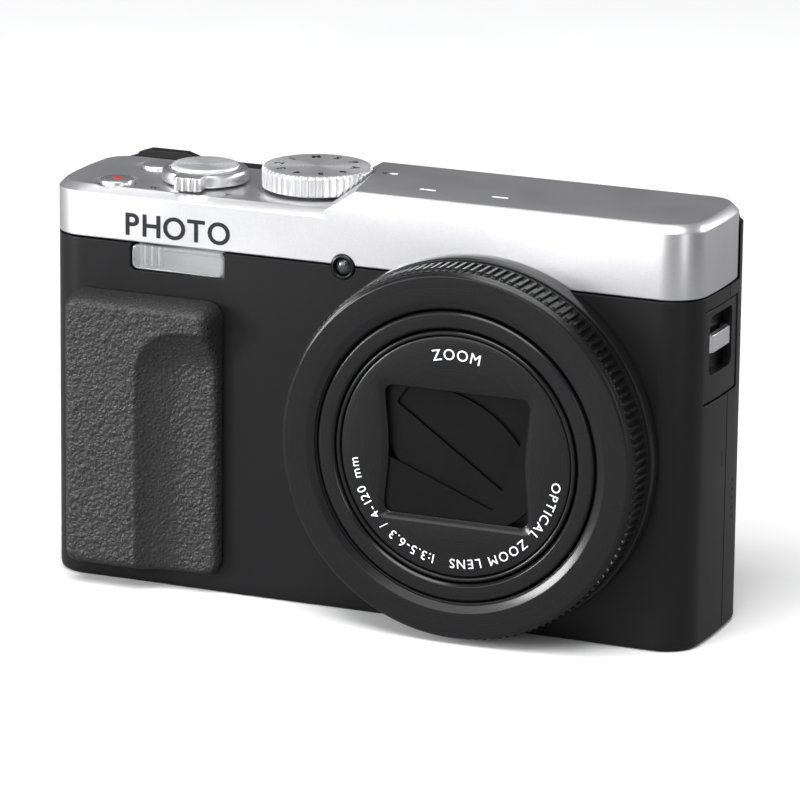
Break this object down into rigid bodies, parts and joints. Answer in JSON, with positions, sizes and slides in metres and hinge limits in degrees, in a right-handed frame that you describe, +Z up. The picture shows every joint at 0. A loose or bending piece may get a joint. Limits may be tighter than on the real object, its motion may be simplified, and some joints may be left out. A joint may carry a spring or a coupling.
{
  "type": "compact digital camera",
  "caption": "Compact digital camera with a telescoping zoom lens behind barrier blades, a control ring, a mode dial, an eyepiece viewfinder and a monitor that flips up.",
  "frame": {"origin": "middle of the footprint, on the face the camera stands on", "axes": "+X towards the lens side of the width, -Y the way the lens points, +Z up"},
  "size_m": [0.112, 0.0416, 0.0694],
  "materials": {
    "black_plastic": "satin moulded plastic",
    "silver_cover": "bead-blasted and anodised",
    "satin_metal": "turned and anodised",
    "steel": "brushed",
    "bright_metal": "polished",
    "board": "solder mask",
    "dark_glass": "polished",
    "lens_glass": "coated",
    "clear_plastic": "polished",
    "grip_leather": "leather grain",
    "soft_rubber": "matte",
    "black_metal": "satin black anodised",
    "battery_case": "moulded",
    "brass": "machined"
  },
  "bodies": {
    "camera_body": {"front_shell": "black_plastic", "rear_shell": "black_plastic", "top_cover": "silver_cover", "chassis_plate": "steel", "main_board": "board", "image_sensor": "dark_glass", "tripod_socket": "steel", "base_screw_1": "steel", "base_screw_2": "steel", "left_hand_side_trim": "black_plastic", "right_hand_side_trim": "black_plastic", "left_hand_strap_lug": "satin_metal", "right_hand_strap_lug": "satin_metal", "flash_window": "clear_plastic", "flash_reflector": "bright_metal", "flash_tube": "clear_plastic", "flash_capacitor": "black_plastic", "focus_lamp_lens": "dark_glass", "grip_pad": "grip_leather", "lens_base_ring": "black_metal", "lens_fixed_tube": "black_plastic", "lens_bezel_ring": "black_metal", "battery": "battery_case", "memory_card": "black_plastic", "zoom_motor": "steel", "eyecup": "soft_rubber", "eyepiece_lens": "lens_glass", "thumb_rest": "grip_leather"},
    "control_ring": {"control_ring": "black_metal"},
    "outer_barrel": {"outer_barrel": "black_metal"},
    "inner_barrel": {"inner_barrel": "black_metal", "lens_front_plate": "black_metal", "front_lens_element": "lens_glass", "zoom_lens_element": "lens_glass"},
    "lower_long_blade": {"lower_long_blade": "black_metal"},
    "lower_short_blade": {"lower_short_blade": "black_metal"},
    "upper_long_blade": {"upper_long_blade": "black_metal"},
    "upper_short_blade": {"upper_short_blade": "black_metal"},
    "focus_lens": {"focus_lens_element": "lens_glass"},
    "zoom_ring_gear": {"zoom_ring_gear": "brass"},
    "zoom_lever": {"zoom_lever": "satin_metal"},
    "shutter_button": {"shutter_button": "satin_metal"},
    "mode_dial": {"mode_dial": "satin_metal"},
    "record_button": {"record_button": "satin_metal"},
    "power_button": {"power_button": "satin_metal"},
    "monitor": {"monitor_arm": "black_metal", "monitor_frame": "black_plastic", "monitor_screen": "dark_glass"},
    "battery_door": {"battery_door": "black_plastic", "battery_door_pin": "steel"},
    "battery_door_latch": {"battery_door_latch": "satin_metal"},
    "port_door": {"port_door": "black_plastic"},
    "rear_dial": {"rear_dial": "black_metal"},
    "set_button": {"set_button": "black_plastic"},
    "viewfinder_switch_button": {"viewfinder_switch_button": "black_plastic"},
    "quick_menu_button": {"quick_menu_button": "black_plastic"},
    "playback_button": {"playback_button": "black_plastic"},
    "delete_button": {"delete_button": "black_plastic"},
    "display_button": {"display_button": "black_plastic"},
    "diopter_dial": {"diopter_dial": "black_plastic"}
  },
  "joints": [
    {"name": "control_ring_turn", "type": "hinge", "parent": "camera_body", "child": "control_ring", "pos_m": [0.02, -0.017, 0.0306], "axis": [0, -1, 0], "continuous": true},
    {"name": "outer_barrel_slide", "type": "slide", "parent": "camera_body", "child": "outer_barrel", "axis": [0, -1, 0], "range_m": [0, 0.024]},
    {"name": "inner_barrel_slide", "type": "slide", "parent": "outer_barrel", "child": "inner_barrel", "axis": [0, -1, 0], "range_m": [0, 0.022]},
    {"name": "lower_long_blade_turn", "type": "hinge", "parent": "inner_barrel", "child": "lower_long_blade", "pos_m": [0.03726, -0.0186, 0.02623], "axis": [0, -1, 0], "range_deg": [0, 34.5]},
    {"name": "lower_short_blade_turn", "type": "hinge", "parent": "inner_barrel", "child": "lower_short_blade", "pos_m": [0.03513, -0.01915, 0.03791], "axis": [0, -1, 0], "range_deg": [0, 21.2]},
    {"name": "upper_long_blade_turn", "type": "hinge", "parent": "inner_barrel", "child": "upper_long_blade", "pos_m": [0.00274, -0.01805, 0.03497], "axis": [0, -1, 0], "range_deg": [0, 34.6]},
    {"name": "upper_short_blade_turn", "type": "hinge", "parent": "inner_barrel", "child": "upper_short_blade", "pos_m": [0.00487, -0.0175, 0.02329], "axis": [0, -1, 0], "range_deg": [0, 21.2]},
    {"name": "focus_slide", "type": "slide", "parent": "camera_body", "child": "focus_lens", "axis": [0, -1, 0], "range_m": [0, 0.0012]},
    {"name": "zoom_ring_gear_turn", "type": "hinge", "parent": "camera_body", "child": "zoom_ring_gear", "pos_m": [0.02, -0.005, 0.0306], "axis": [0, -1, 0], "range_deg": [0, 76]},
    {"name": "zoom_lever_turn", "type": "hinge", "parent": "camera_body", "child": "zoom_lever", "pos_m": [-0.0324, -0.0003, 0.066], "axis": [0, 0, 1], "range_deg": [-20, 20]},
    {"name": "shutter_press", "type": "slide", "parent": "camera_body", "child": "shutter_button", "axis": [0, 0, -1], "range_m": [0, 0.0008]},
    {"name": "mode_dial_turn", "type": "hinge", "parent": "camera_body", "child": "mode_dial", "pos_m": [-0.0139, 0.0025, 0.066], "axis": [0, 0, 1], "continuous": true},
    {"name": "record_press", "type": "slide", "parent": "camera_body", "child": "record_button", "axis": [0, 0, -1], "range_m": [0, 0.0005]},
    {"name": "power_press", "type": "slide", "parent": "camera_body", "child": "power_button", "axis": [0, 0, -1], "range_m": [0, 0.0005]},
    {"name": "monitor_tilt", "type": "hinge", "parent": "camera_body", "child": "monitor", "pos_m": [0.005, 0.01495, 0.0612], "axis": [1, 0, 0], "range_deg": [0, 180]},
    {"name": "battery_door_hinge", "type": "hinge", "parent": "camera_body", "child": "battery_door", "pos_m": [-0.02665, 0, 0.00085], "axis": [0, -1, 0], "range_deg": [0, 100]},
    {"name": "battery_door_latch_slide", "type": "slide", "parent": "battery_door", "child": "battery_door_latch", "axis": [1, 0, 0], "range_m": [0, 0.0022]},
    {"name": "port_door_hinge", "type": "hinge", "parent": "camera_body", "child": "port_door", "pos_m": [-0.0561, -0.0055, 0.011], "axis": [0, 0, 1], "range_deg": [0, 100]},
    {"name": "rear_dial_turn", "type": "hinge", "parent": "camera_body", "child": "rear_dial", "pos_m": [-0.0405, 0.016, 0.021], "axis": [0, -1, 0], "continuous": true},
    {"name": "set_press", "type": "slide", "parent": "camera_body", "child": "set_button", "axis": [0, -1, 0], "range_m": [0, 0.0004]},
    {"name": "viewfinder_switch_press", "type": "slide", "parent": "camera_body", "child": "viewfinder_switch_button", "axis": [0, -1, 0], "range_m": [0, 0.0005]},
    {"name": "quick_menu_press", "type": "slide", "parent": "camera_body", "child": "quick_menu_button", "axis": [0, -1, 0], "range_m": [0, 0.0005]},
    {"name": "playback_press", "type": "slide", "parent": "camera_body", "child": "playback_button", "axis": [0, -1, 0], "range_m": [0, 0.0005]},
    {"name": "delete_press", "type": "slide", "parent": "camera_body", "child": "delete_button", "axis": [0, -1, 0], "range_m": [0, 0.0005]},
    {"name": "display_press", "type": "slide", "parent": "camera_body", "child": "display_button", "axis": [0, -1, 0], "range_m": [0, 0.0005]},
    {"name": "diopter_dial_turn", "type": "hinge", "parent": "camera_body", "child": "diopter_dial", "pos_m": [0.0274, 0.016, 0.0608], "axis": [0, -1, 0], "range_deg": [-150, 150]}
  ],
  "couplings": [
    {"joint": "inner_barrel_slide", "follows": "outer_barrel_slide", "ratio": 0.91667},
    {"joint": "zoom_ring_gear_turn", "follows": "outer_barrel_slide", "rad_per_m": 54.541},
    {"joint": "lower_short_blade_turn", "follows": "lower_long_blade_turn", "ratio": 0.61159},
    {"joint": "upper_long_blade_turn", "follows": "lower_long_blade_turn", "ratio": 1},
    {"joint": "upper_short_blade_turn", "follows": "lower_long_blade_turn", "ratio": 0.61159}
  ]
}
